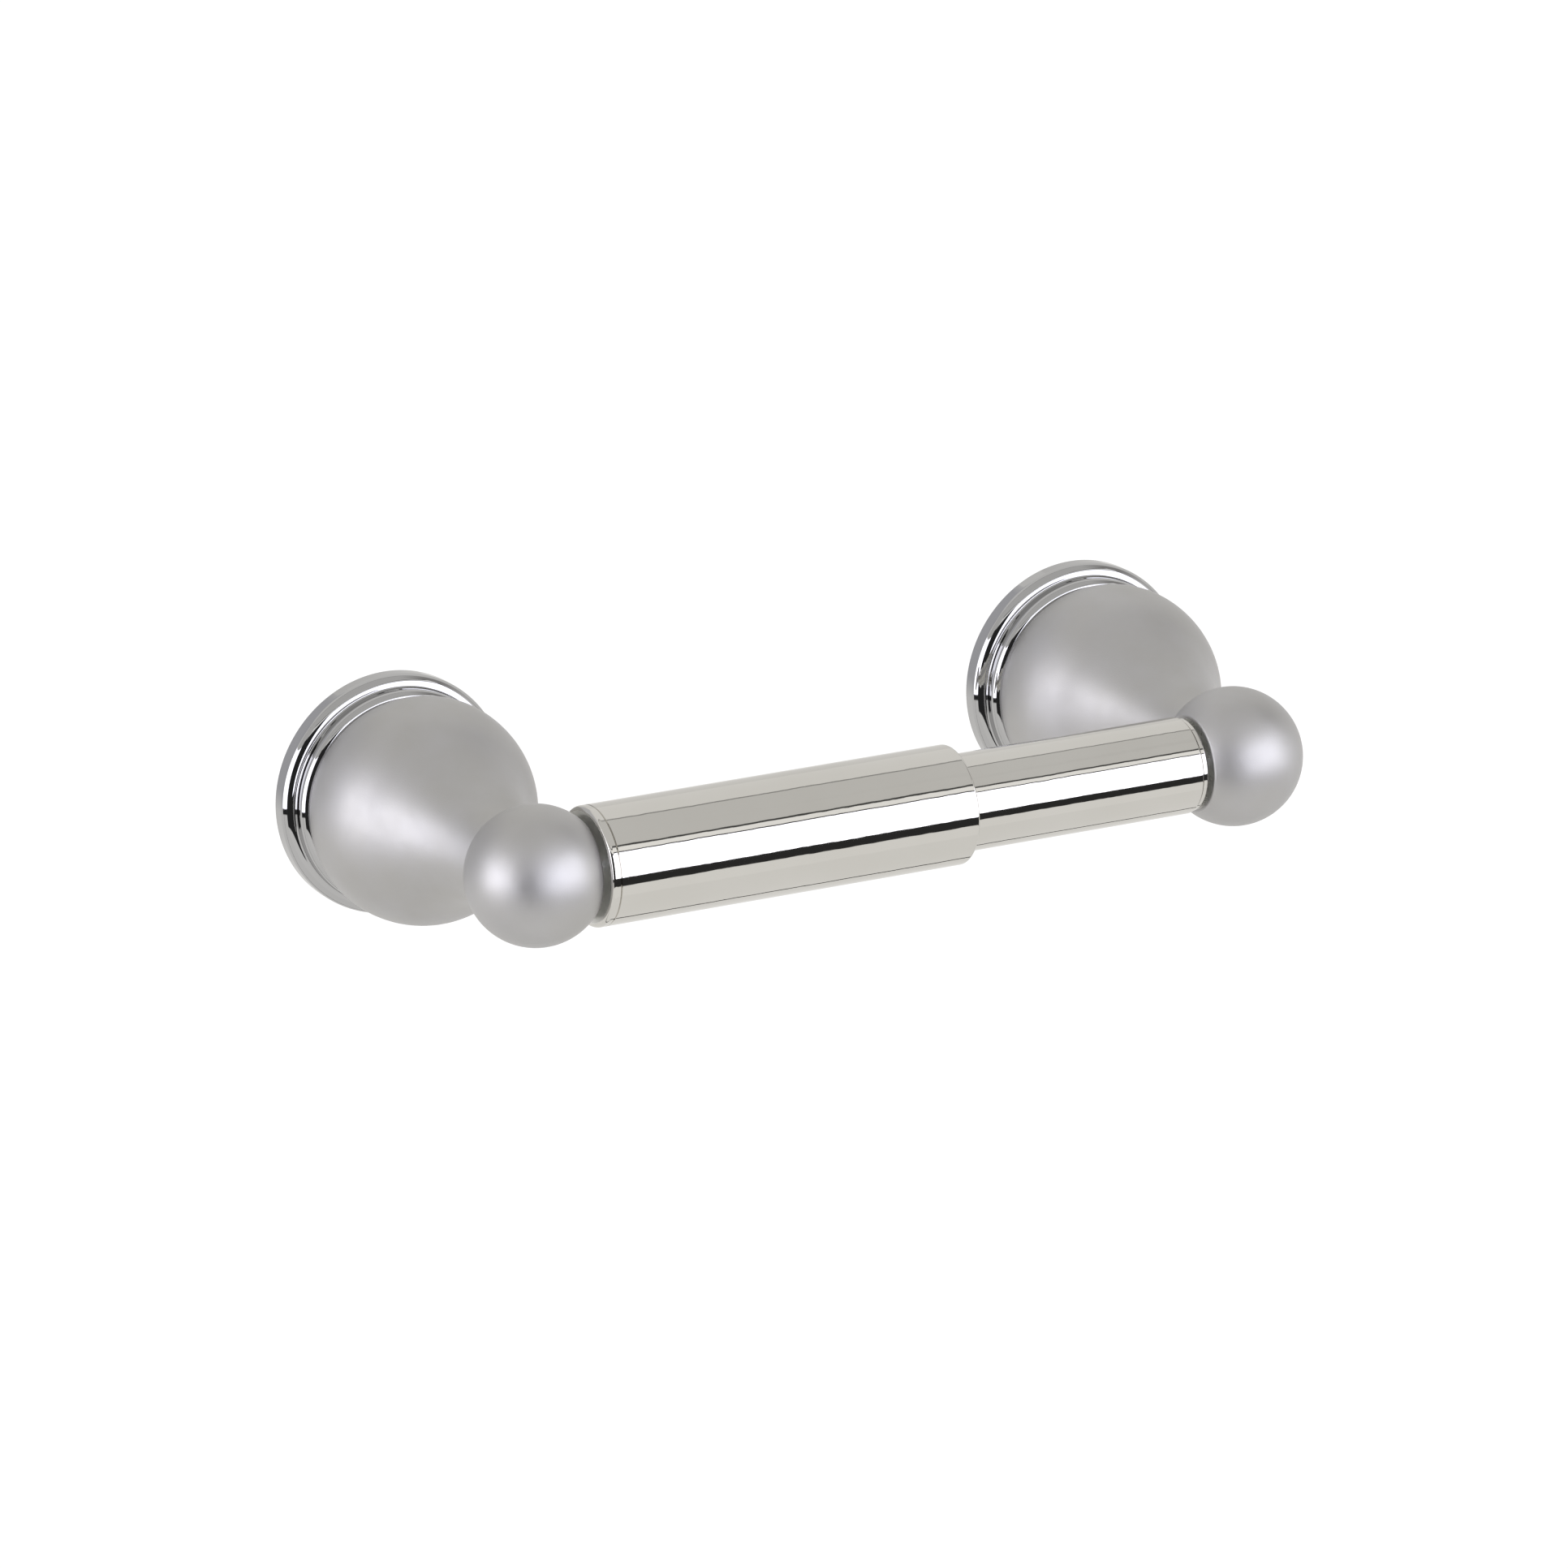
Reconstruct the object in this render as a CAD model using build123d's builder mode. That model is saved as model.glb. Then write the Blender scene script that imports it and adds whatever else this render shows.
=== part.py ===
from build123d import *
from math import asin, cos, radians, sin, sqrt, tan
import os

# Two-post toilet paper holder with a spring-loaded telescopic roller.
# Millimetres. X runs from the left post to the right post, -Y is the front, +Z is up.
# The origin is on the wall, midway between the posts, at the height of their axes.

# Posts
POST_SPACING = 164.0  # between the two post axes
ROLLER_DISTANCE = 70.5  # wall to the roller's axis, which passes through both balls

# Base ring
RING_RADIUS = 26.0
LOWER_BEAD_SIDE = 2.7  # wall to where the first bead starts to curve
LOWER_BEAD_ROUND = 2.3
UPPER_BEAD_RADIUS = 23.55
UPPER_BEAD_SIDE = 7.08
UPPER_BEAD_ROUND = 1.8
BEAD_ARC = 80.0  # degrees that a bead's rounded shoulder turns through
GROOVE_ROUND = 0.45
RING_HEIGHT = UPPER_BEAD_SIDE + UPPER_BEAD_ROUND * sin(radians(BEAD_ARC))
CAVITY_RADIUS = 20.3
CAVITY_DEPTH = 6.5

# Dome and neck
DOME_RADIUS = 24.15
DOME_CENTRE = 17.0  # wall to the centre of the dome's sphere
DOME_BASE_ROUND = 16.7  # radius of the outline between the dome's widest place and the ring
DOME_ARC = 54.0  # degrees from the post axis where the sphere gives way to the neck
DOME_WALL = 2.5
DOME_CAVITY_TOP = 32.0
NECK_ARC_RADIUS = 65.0
NECK_ARC = 26.0  # degrees that the concave neck turns through

# Ball
BALL_RADIUS = 14.8
FLAT_OFFSET = 10.4  # ball centre to the flat that faces the roller
FLAT_EDGE = 0.8
SOCKET_RADIUS = 3.08
SOCKET_DEPTH = 9.0

# Wall bracket
BRACKET_THICKNESS = 4.0
BRACKET_BEVEL = 0.6
BRACKET_OPENING = 9.0
WALL_SCREW_SPACING = 28.0
WALL_SCREW_RADIUS = 2.2
COUNTERSINK_RADIUS = 4.2

# Post fasteners
STUD_RADIUS = 3.0
STUD_CLEARANCE = 3.2
STUD_START = 1.0
STUD_END = 63.0
NUT_FLATS = 10.0
NUT_THICKNESS = 4.0
WASHER_RADIUS = 6.0
WASHER_THICKNESS = 1.0
GRUB_RADIUS = 1.5
GRUB_FLATS = 1.5
GRUB_HEIGHT = 2.2  # wall to the grub screw's axis
GRUB_LENGTH = 5.2
GRUB_POINT = 0.7
GRUB_SOCKET_DEPTH = 2.0
STUD_CHAMFER = 0.5

# Roller, with places along X from the middle
OUTER_TUBE_RADIUS = 12.7
OUTER_TUBE_BORE = 11.5
OUTER_TUBE_LEFT = -68.6
OUTER_TUBE_RIGHT = 14.6
LIP_BORE = 10.6
LIP_LENGTH = 4.6
OUTER_TUBE_EDGE = 0.6
LIP_EDGE = 0.25
INNER_TUBE_RADIUS = 10.3
INNER_TUBE_BORE = 9.2
INNER_TUBE_LEFT = -19.7
INNER_TUBE_RIGHT = 69.2
INNER_TUBE_EDGE = 0.3
CAP_FACE = 70.7  # middle to the rim of each cap
CAP_LAND = 1.3
CAP_RIM_INSET = 0.6
INNER_CAP_RADIUS = 10.0
CAP_WALL = 3.0
SPIGOT_LENGTH = 6.6
SPIGOT_WALL = 2.4
PIN_RADIUS = 3.0
PIN_END = 79.0
PIN_BEVEL = 1.0
PIN_DISH = 0.9  # how far the cap's face falls from its rim to the pin
SEAM = 0.18

# Guide collar and spring
COLLAR_RADIUS = 11.2
COLLAR_LEFT = -24.0
COLLAR_THICKNESS = 4.0
COLLAR_SPIGOT_RADIUS = 9.15
COLLAR_SPIGOT_LENGTH = 9.0
COLLAR_BORE = 5.0
SPRING_RADIUS = 7.6
SPRING_WIRE = 0.7
SPRING_TURNS = 9

SIDES = {"left": -1, "right": 1}


def post_plane(centre):
    """Half-profile plane of a post: local x is the radius, local y the distance from the wall."""
    return Plane(origin=(centre, 0, 0), x_dir=(1, 0, 0), z_dir=(0, 0, -1))


def post_axis(centre):
    """The post's own axis, pointing away from the wall."""
    return Axis((centre, 0, 0), (0, -1, 0))


def facing_plane(centre, distance):
    """Plane across a post at a distance from the wall, with its normal pointing to the front."""
    return Plane.XZ.offset(distance).shift_origin((centre, -distance, 0))


ROLLER_PLANE = Plane.XZ.offset(ROLLER_DISTANCE)
ROLLER_AXIS = Axis((0, -ROLLER_DISTANCE, 0), (1, 0, 0))

os.makedirs("parts", exist_ok=True)


def save(part, label):
    """Label one finished piece and write it."""
    part.label = label
    export_step(part, f"parts/{label}.step")


def wall_bracket(side, centre):
    """Round plate on the wall: two countersunk screw holes and an opening for the post's nut."""
    with BuildPart() as bracket:
        with BuildSketch(facing_plane(centre, 0)):
            Circle(CAVITY_RADIUS)
            Circle(BRACKET_OPENING, mode=Mode.SUBTRACT)
        extrude(amount=BRACKET_THICKNESS)
        front_rim = bracket.faces().sort_by(Axis.Y)[0].edges().sort_by(SortBy.RADIUS)[-1]
        chamfer(front_rim, BRACKET_BEVEL)
        with Locations(facing_plane(centre, BRACKET_THICKNESS)):
            with GridLocations(0, WALL_SCREW_SPACING, 1, 2):
                CounterSinkHole(WALL_SCREW_RADIUS, COUNTERSINK_RADIUS, counter_sink_angle=90)
    save(bracket.part, f"{side}_wall_bracket")


def base_ring(side, centre):
    """Chrome ring with two stacked beads, a cavity over the bracket and a web for the stud."""
    shoulder = radians(BEAD_ARC)
    lower_centre = RING_RADIUS - LOWER_BEAD_ROUND
    lower_end = (
        lower_centre + LOWER_BEAD_ROUND * cos(shoulder),
        LOWER_BEAD_SIDE + LOWER_BEAD_ROUND * sin(shoulder),
    )
    groove_depth = lower_end[1] + (lower_end[0] - UPPER_BEAD_RADIUS) / tan(shoulder)
    groove_centre = (
        UPPER_BEAD_RADIUS + GROOVE_ROUND,
        groove_depth + GROOVE_ROUND * tan(shoulder / 2),
    )

    def groove_point(angle):
        """Point of the groove's concave bottom, by the angle that the bead has turned through."""
        return (
            groove_centre[0] - GROOVE_ROUND * cos(angle),
            groove_centre[1] - GROOVE_ROUND * sin(angle),
        )

    upper_centre = UPPER_BEAD_RADIUS - UPPER_BEAD_ROUND
    with BuildPart() as ring:
        with BuildSketch(post_plane(centre)):
            with BuildLine():
                Polyline(
                    (CAVITY_RADIUS, 0),
                    (RING_RADIUS, 0),
                    (RING_RADIUS, LOWER_BEAD_SIDE),
                )
                CenterArc((lower_centre, LOWER_BEAD_SIDE), LOWER_BEAD_ROUND, 0, BEAD_ARC)
                Line(lower_end, groove_point(shoulder))
                ThreePointArc(groove_point(shoulder), groove_point(shoulder / 2), groove_point(0))
                Line(groove_point(0), (UPPER_BEAD_RADIUS, UPPER_BEAD_SIDE))
                CenterArc((upper_centre, UPPER_BEAD_SIDE), UPPER_BEAD_ROUND, 0, BEAD_ARC)
                Polyline(
                    (upper_centre + UPPER_BEAD_ROUND * cos(shoulder), RING_HEIGHT),
                    (STUD_CLEARANCE, RING_HEIGHT),
                    (STUD_CLEARANCE, CAVITY_DEPTH),
                    (CAVITY_RADIUS, CAVITY_DEPTH),
                    (CAVITY_RADIUS, 0),
                )
            make_face()
        revolve(axis=post_axis(centre))
        with BuildSketch(Plane(origin=(centre, -GRUB_HEIGHT, 0), z_dir=(0, 0, -1))):
            Circle(GRUB_RADIUS)
        extrude(amount=2 * RING_RADIUS, mode=Mode.SUBTRACT)
    save(ring.part, f"{side}_base_ring")


def dome(side, centre):
    """Satin shell: a sphere that runs into a concave neck with a seat for the ball."""
    turn = radians(DOME_ARC)
    heading = radians(90 - DOME_ARC)
    end_heading = heading - radians(NECK_ARC)
    base_drop = DOME_CENTRE - RING_HEIGHT
    base_centre = DOME_RADIUS - DOME_BASE_ROUND

    def base_arc(wall):
        """Outline between the ring and the widest place, moved in by a wall's thickness."""
        base_round = DOME_BASE_ROUND - wall
        half = asin(base_drop / base_round) / 2
        root = base_centre + sqrt(base_round**2 - base_drop**2)
        middle = (base_centre + base_round * cos(half), DOME_CENTRE - base_round * sin(half))
        return ((root, RING_HEIGHT), middle, (DOME_RADIUS - wall, DOME_CENTRE))

    start = (DOME_RADIUS * sin(turn), DOME_CENTRE + DOME_RADIUS * cos(turn))
    middle_heading = (heading + end_heading) / 2
    shoulder_angle = radians(90 + DOME_ARC) / 2
    shoulder_point = (
        DOME_RADIUS * sin(shoulder_angle),
        DOME_CENTRE + DOME_RADIUS * cos(shoulder_angle),
    )

    def neck_point(angle):
        """Point of the neck's arc where its outline leans by this angle from the post axis."""
        inward = NECK_ARC_RADIUS * (cos(angle) - cos(heading))
        forward = NECK_ARC_RADIUS * (sin(heading) - sin(angle))
        return (start[0] - inward, start[1] + forward)

    neck_end = neck_point(end_heading)
    inner_radius = DOME_RADIUS - DOME_WALL
    inner_top = sqrt(inner_radius**2 - (DOME_CAVITY_TOP - DOME_CENTRE) ** 2)
    inner_angle = (radians(90) + asin(inner_top / inner_radius)) / 2
    inner_shoulder = (
        inner_radius * sin(inner_angle),
        DOME_CENTRE + inner_radius * cos(inner_angle),
    )
    outside = base_arc(0)
    inside = base_arc(DOME_WALL)
    with BuildPart() as shell:
        with BuildSketch(post_plane(centre)):
            with BuildLine():
                ThreePointArc(*outside)
                ThreePointArc(outside[2], shoulder_point, start)
                ThreePointArc(start, neck_point(middle_heading), neck_end)
                Polyline(
                    neck_end,
                    (STUD_CLEARANCE, neck_end[1]),
                    (STUD_CLEARANCE, DOME_CAVITY_TOP),
                    (inner_top, DOME_CAVITY_TOP),
                )
                ThreePointArc((inner_top, DOME_CAVITY_TOP), inner_shoulder, inside[2])
                ThreePointArc(*reversed(inside))
                Line(inside[0], outside[0])
            make_face()
        revolve(axis=post_axis(centre))
        with Locations((centre, -ROLLER_DISTANCE, 0)):
            Sphere(BALL_RADIUS, mode=Mode.SUBTRACT)
    save(shell.part, f"{side}_dome")


def ball(side, centre, outward):
    """Satin ball with a flat towards the roller, a blind socket in it and a stud hole behind."""
    flat_plane = Plane(
        origin=(centre - outward * FLAT_OFFSET, -ROLLER_DISTANCE, 0), z_dir=(outward, 0, 0)
    )
    with BuildPart() as body:
        with Locations((centre, -ROLLER_DISTANCE, 0)):
            Sphere(BALL_RADIUS)
        split(bisect_by=flat_plane, keep=Keep.TOP)
        flat = body.faces().filter_by(GeomType.PLANE)
        fillet(flat.edges(), FLAT_EDGE)
        with BuildSketch(flat_plane):
            Circle(SOCKET_RADIUS)
        extrude(amount=SOCKET_DEPTH, mode=Mode.SUBTRACT)
        with BuildSketch(facing_plane(centre, 0)):
            Circle(STUD_RADIUS)
        extrude(amount=STUD_END, mode=Mode.SUBTRACT)
    save(body.part, f"{side}_ball")


def post_stud(side, centre):
    """Stud from the nut behind the ring's web to the ball."""
    with BuildPart() as stud:
        with BuildSketch(facing_plane(centre, STUD_START)):
            Circle(STUD_RADIUS)
        extrude(amount=STUD_END - STUD_START)
        chamfer(stud.faces().sort_by(Axis.Y)[-1].edges(), STUD_CHAMFER)
    save(stud.part, f"{side}_post_stud")


def post_nut(side, centre):
    """Hexagon nut that pulls the post together."""
    front = CAVITY_DEPTH - WASHER_THICKNESS
    with BuildPart() as nut:
        with BuildSketch(facing_plane(centre, front - NUT_THICKNESS)):
            RegularPolygon(NUT_FLATS / 2, 6, major_radius=False)
            Circle(STUD_RADIUS, mode=Mode.SUBTRACT)
        extrude(amount=NUT_THICKNESS)
    save(nut.part, f"{side}_post_nut")


def lock_washer(side, centre):
    """Washer between the nut and the ring's web."""
    with BuildPart() as washer:
        with BuildSketch(facing_plane(centre, CAVITY_DEPTH - WASHER_THICKNESS)):
            Circle(WASHER_RADIUS)
            Circle(STUD_CLEARANCE, mode=Mode.SUBTRACT)
        extrude(amount=WASHER_THICKNESS)
    save(washer.part, f"{side}_lock_washer")


def set_screw(side, centre):
    """Grub screw under the ring, with a cone point on the bracket's edge and a hexagon socket."""
    tip = CAVITY_RADIUS
    head_plane = Plane(origin=(centre, -GRUB_HEIGHT, -tip - GRUB_LENGTH), z_dir=(0, 0, 1))
    with BuildPart() as screw:
        with BuildSketch(head_plane):
            Circle(GRUB_RADIUS)
        extrude(amount=GRUB_LENGTH)
        chamfer(screw.faces().sort_by(Axis.Z)[-1].edges(), GRUB_POINT)
        with BuildSketch(head_plane):
            RegularPolygon(GRUB_FLATS / 2, 6, major_radius=False)
        extrude(amount=GRUB_SOCKET_DEPTH, mode=Mode.SUBTRACT)
    save(screw.part, f"{side}_set_screw")


def outer_tube():
    """Thick chrome tube, with a narrower lip that guides the thin tube."""
    with BuildPart() as tube:
        with BuildSketch(ROLLER_PLANE):
            with BuildLine():
                Polyline(
                    (OUTER_TUBE_LEFT, OUTER_TUBE_BORE),
                    (OUTER_TUBE_LEFT, OUTER_TUBE_RADIUS),
                    (OUTER_TUBE_RIGHT, OUTER_TUBE_RADIUS),
                    (OUTER_TUBE_RIGHT, LIP_BORE),
                    (OUTER_TUBE_RIGHT - LIP_LENGTH, LIP_BORE),
                    (OUTER_TUBE_RIGHT - LIP_LENGTH, OUTER_TUBE_BORE),
                    close=True,
                )
            make_face()
        revolve(axis=ROLLER_AXIS)
        right_edges = tube.faces().sort_by(Axis.X)[-1].edges().sort_by(SortBy.RADIUS)
        fillet(right_edges[-1], OUTER_TUBE_EDGE)
        fillet(right_edges[0], LIP_EDGE)
        left_rim = tube.faces().sort_by(Axis.X)[0].edges().sort_by(SortBy.RADIUS)[-1]
        chamfer(left_rim, SEAM)
    save(tube.part, "outer_tube")


def end_cap(label, direction, seam, radius, bevel_start, spigot_radius):
    """End cap of a tube: land, bevelled rim, dished face, pin, and a hollow spigot in the tube."""

    def at(distance, height):
        """Profile point from a distance along this end's own direction."""
        return (direction * distance, height)

    pin_root = CAP_FACE - PIN_DISH
    spigot_end = seam - SPIGOT_LENGTH
    hollow = spigot_radius - SPIGOT_WALL
    with BuildPart() as cap:
        with BuildSketch(ROLLER_PLANE):
            with BuildLine():
                Polyline(
                    at(pin_root - CAP_WALL, 0),
                    at(pin_root - CAP_WALL, hollow),
                    at(spigot_end, hollow),
                    at(spigot_end, spigot_radius),
                    at(seam, spigot_radius),
                    at(seam, radius - SEAM),
                    at(seam + SEAM, radius),
                    at(bevel_start, radius),
                    at(CAP_FACE, radius - CAP_RIM_INSET),
                    at(pin_root, PIN_RADIUS),
                    at(PIN_END - PIN_BEVEL, PIN_RADIUS),
                    at(PIN_END, PIN_RADIUS - PIN_BEVEL),
                    at(PIN_END, 0),
                    close=True,
                )
            make_face()
        revolve(axis=ROLLER_AXIS)
    save(cap.part, label)


def inner_tube():
    """Thin chrome tube that slides into the thick one."""
    with BuildPart() as tube:
        with BuildSketch(ROLLER_PLANE):
            with BuildLine():
                Polyline(
                    (INNER_TUBE_LEFT, INNER_TUBE_BORE),
                    (INNER_TUBE_LEFT, INNER_TUBE_RADIUS),
                    (INNER_TUBE_RIGHT, INNER_TUBE_RADIUS),
                    (INNER_TUBE_RIGHT, INNER_TUBE_BORE),
                    close=True,
                )
            make_face()
        revolve(axis=ROLLER_AXIS)
        right_rim = tube.faces().sort_by(Axis.X)[-1].edges().sort_by(SortBy.RADIUS)[-1]
        fillet(right_rim, INNER_TUBE_EDGE)
    save(tube.part, "inner_tube")


def guide_collar():
    """Plastic collar in the thin tube's hidden end: it rides in the thick tube and takes the spring."""
    flange_right = COLLAR_LEFT + COLLAR_THICKNESS
    spigot_right = flange_right + COLLAR_SPIGOT_LENGTH
    with BuildPart() as collar:
        with BuildSketch(ROLLER_PLANE):
            with BuildLine():
                Polyline(
                    (COLLAR_LEFT, COLLAR_BORE),
                    (COLLAR_LEFT, COLLAR_RADIUS),
                    (flange_right, COLLAR_RADIUS),
                    (flange_right, COLLAR_SPIGOT_RADIUS),
                    (spigot_right, COLLAR_SPIGOT_RADIUS),
                    (spigot_right, COLLAR_BORE),
                    close=True,
                )
            make_face()
        revolve(axis=ROLLER_AXIS)
    save(collar.part, "guide_collar")


def roller_spring():
    """Compression spring between the thick tube's end cap and the guide collar."""
    seat = -(CAP_FACE - PIN_DISH - CAP_WALL)
    first = seat + SPRING_WIRE
    length = COLLAR_LEFT - SPRING_WIRE - first
    with BuildPart() as spring:
        with BuildLine() as coil:
            Helix(
                pitch=length / SPRING_TURNS,
                height=length,
                radius=SPRING_RADIUS,
                center=(first, -ROLLER_DISTANCE, 0),
                direction=(1, 0, 0),
            )
        with BuildSketch(Plane(origin=coil.line @ 0, z_dir=coil.line % 0)):
            Circle(SPRING_WIRE)
        sweep(path=coil.line, is_frenet=True)
    save(spring.part, "roller_spring")


for side_name, outward in SIDES.items():
    post_centre = outward * POST_SPACING / 2
    wall_bracket(side_name, post_centre)
    base_ring(side_name, post_centre)
    dome(side_name, post_centre)
    ball(side_name, post_centre, outward)
    post_stud(side_name, post_centre)
    post_nut(side_name, post_centre)
    lock_washer(side_name, post_centre)
    set_screw(side_name, post_centre)

outer_tube()
inner_tube()
end_cap(
    "outer_end_cap",
    -1,
    -OUTER_TUBE_LEFT,
    OUTER_TUBE_RADIUS,
    -OUTER_TUBE_LEFT + CAP_LAND,
    OUTER_TUBE_BORE,
)
end_cap(
    "inner_end_cap",
    1,
    INNER_TUBE_RIGHT,
    INNER_CAP_RADIUS,
    CAP_FACE - CAP_RIM_INSET,
    INNER_TUBE_BORE,
)
guide_collar()
roller_spring()
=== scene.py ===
"""Two-post toilet paper holder with a sprung telescopic roller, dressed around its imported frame."""
import logging
import math
from dataclasses import dataclass, field
from enum import Enum

import bmesh
import bpy
from mathutils import Matrix, Vector
from mathutils.bvhtree import BVHTree
from mathutils.interpolate import poly_3d_calc


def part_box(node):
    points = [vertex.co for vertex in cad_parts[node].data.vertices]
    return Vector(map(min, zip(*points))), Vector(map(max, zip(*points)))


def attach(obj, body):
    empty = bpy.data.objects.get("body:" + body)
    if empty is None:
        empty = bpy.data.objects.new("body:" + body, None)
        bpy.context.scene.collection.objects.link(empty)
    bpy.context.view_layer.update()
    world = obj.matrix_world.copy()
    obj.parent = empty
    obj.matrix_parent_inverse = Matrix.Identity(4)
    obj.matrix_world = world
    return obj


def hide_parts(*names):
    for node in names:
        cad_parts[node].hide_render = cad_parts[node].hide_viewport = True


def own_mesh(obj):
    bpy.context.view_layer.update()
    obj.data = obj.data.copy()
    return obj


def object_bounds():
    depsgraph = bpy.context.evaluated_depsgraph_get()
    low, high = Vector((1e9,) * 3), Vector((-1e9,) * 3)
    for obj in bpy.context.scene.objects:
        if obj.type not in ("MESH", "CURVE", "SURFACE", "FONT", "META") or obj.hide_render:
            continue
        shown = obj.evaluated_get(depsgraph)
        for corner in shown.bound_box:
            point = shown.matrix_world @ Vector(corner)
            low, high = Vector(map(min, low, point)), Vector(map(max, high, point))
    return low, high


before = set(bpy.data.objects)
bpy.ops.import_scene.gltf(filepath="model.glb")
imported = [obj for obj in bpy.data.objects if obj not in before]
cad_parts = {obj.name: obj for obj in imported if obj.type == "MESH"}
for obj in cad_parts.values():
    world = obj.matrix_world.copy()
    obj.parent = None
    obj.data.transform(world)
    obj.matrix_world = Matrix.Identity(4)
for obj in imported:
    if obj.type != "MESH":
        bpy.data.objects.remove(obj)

CAD_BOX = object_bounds()
LOG = logging.getLogger("paper_holder")
Piece = bpy.types.Object
Socket = bpy.types.NodeSocket

TURNED_STEPS = 256  # meridians of a large turned piece
SMALL_TURNED_STEPS = 96
ROD_STEPS = 64
HEXAGON = 6
ARC_STEP = 3.0  # degrees between the rings of a round stretch
CORNER_STEP = 9.0  # degrees between the rings of a rounded corner
ARC_ROWS = 4  # fewest steps of a round stretch
SHARP_ANGLE = math.radians(30.0)
TINY = 1e-7
ON_SURFACE = 1e-6  # metres: a point this near a surface lies on it
INWARD = 0.01  # share of the way from a face's corner to its middle
SAME_WAY = 0.9  # two normals with a larger dot product face the same way
THREAD_ROWS = 8  # rings of a thread for each turn
THREAD_STEPS = 48
THREAD_FLANK = 2.5  # shares of the depth that a thread's side gains in one pitch
THREAD_CREST = 0.125  # share taken off again, so that the crest is a tenth of a pitch wide
NOISE_LOW, NOISE_HIGH = 0.35, 0.65  # most of a noise's values lie between these
PATCH_DETAIL = 4.0
SMUDGE_DETAIL, SMUDGE_ROUGHNESS = 5.0, 0.6
GRAIN_DETAIL = 2.0
SCATTER_DEPTH = 0.001
MIX_FIRST, MIX_SECOND, MIX_RESULT = 6, 7, 2  # colour sockets of a Mix node
NEW_RAMP_STOPS = 2  # stops that a new colour ramp already has
WHITE = (1.0, 1.0, 1.0, 1.0)


class Side(Enum):
    """The two ends of the holder, with the direction of each along X."""

    LEFT = -1
    RIGHT = 1

    @property
    def label(self) -> str:
        """Name used in front of the post's pieces."""
        return self.name.lower()


class Body(Enum):
    """Rigid bodies of the frame that new pieces ride on."""

    POSTS = "posts"
    OUTER_ROLLER = "outer_roller"
    INNER_ROLLER = "inner_roller"


class Slot(Enum):
    """Material slots of the frame's record."""

    SATIN = "satin"
    POLISHED = "polished"
    ZINC = "zinc"
    STEEL = "steel"
    SPRING_STEEL = "spring_steel"
    NYLON = "nylon"


# ---- outlines of turned pieces


@dataclass(frozen=True)
class Station:
    """One ring of a turned surface: its place along the axis, its radius and its outward slope."""

    along: float
    radius: float
    normal: tuple[float, float]


@dataclass(frozen=True)
class Corner:
    """Corner of an outline, with an optional rounding."""

    along: float
    radius: float
    rounding: float = 0.0


@dataclass(frozen=True)
class Round:
    """Stretch of an outline on a circle, between two angles in degrees from the axis direction."""

    centre: tuple[float, float]
    radius: float
    start: float
    end: float

    def point(self, angle: float) -> tuple[float, float]:
        """Point of the circle at an angle.

        Args:
            angle: the angle in degrees.

        Returns:
            Its place along the axis and its distance from it.
        """
        turn = math.radians(angle)
        return (
            self.centre[0] + self.radius * math.cos(turn),
            self.centre[1] + self.radius * math.sin(turn),
        )

    def stations(self, step: float = ARC_STEP) -> list[Station]:
        """Rings along the stretch.

        Args:
            step: largest angle between two rings, in degrees.

        Returns:
            The rings in order, with exact slopes: a falling angle is convex, a rising one hollow.
        """
        count = max(ARC_ROWS, math.ceil(abs(self.end - self.start) / step))
        facing = 1.0 if self.end < self.start else -1.0
        rings = []
        for index in range(count + 1):
            angle = self.start + (self.end - self.start) * index / count
            turn = math.radians(angle)
            normal = (facing * math.cos(turn), facing * math.sin(turn))
            rings.append(Station(*self.point(angle), normal))
        return rings


@dataclass
class Outline:
    """Half-outline of a turned piece, drawn so that the solid is on the right of the pen."""

    steps: list[Corner | Round]
    closed: bool = True

    @staticmethod
    def _ends(step: Corner | Round) -> tuple[Vector, Vector]:
        """First and last point of a step, before any rounding.

        Args:
            step: the corner or the round stretch.

        Returns:
            The two points, which are the same for a corner.
        """
        if isinstance(step, Round):
            return Vector(step.point(step.start)), Vector(step.point(step.end))
        point = Vector((step.along, step.radius))
        return point, point

    def _rounded(self, index: int) -> Round | None:
        """The arc that replaces a rounded corner.

        Args:
            index: place of the corner in the outline.

        Returns:
            The arc, or None where the step isn't a rounded corner.
        """
        step = self.steps[index]
        if not isinstance(step, Corner) or step.rounding <= 0:
            return None
        at = Vector((step.along, step.radius))
        before = (at - self._ends(self.steps[index - 1])[1]).normalized()
        after = (self._ends(self.steps[(index + 1) % len(self.steps)])[0] - at).normalized()
        turn = math.atan2(before.x * after.y - before.y * after.x, before.dot(after))
        reach = step.rounding * math.tan(abs(turn) / 2)
        side = Vector((-before.y, before.x)) * math.copysign(step.rounding, turn)
        centre = at - before * reach + side
        start = math.degrees(math.atan2(-side.y, -side.x))
        return Round(tuple(centre), step.rounding, start, start + math.degrees(turn))

    def spans(self) -> list[list[Station]]:
        """Every straight and round stretch as its own list of rings.

        Returns:
            The stretches in order. Neighbours share their end ring's place, not its slope.
        """
        pieces: list[Corner | Round] = [
            self._rounded(index) or step for index, step in enumerate(self.steps)
        ]
        found: list[list[Station]] = []
        count = len(pieces)
        for index, step in enumerate(pieces):
            if isinstance(step, Round):
                arc_step = CORNER_STEP if isinstance(self.steps[index], Corner) else ARC_STEP
                found.append(step.stations(arc_step))
            if index == count - 1 and not self.closed:
                break
            start = self._ends(step)[1]
            end = self._ends(pieces[(index + 1) % count])[0]
            if (end - start).length > TINY:
                way = (end - start).normalized()
                normal = (-way.y, way.x)
                found.append([Station(*start, normal), Station(*end, normal)])
        return found


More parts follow.
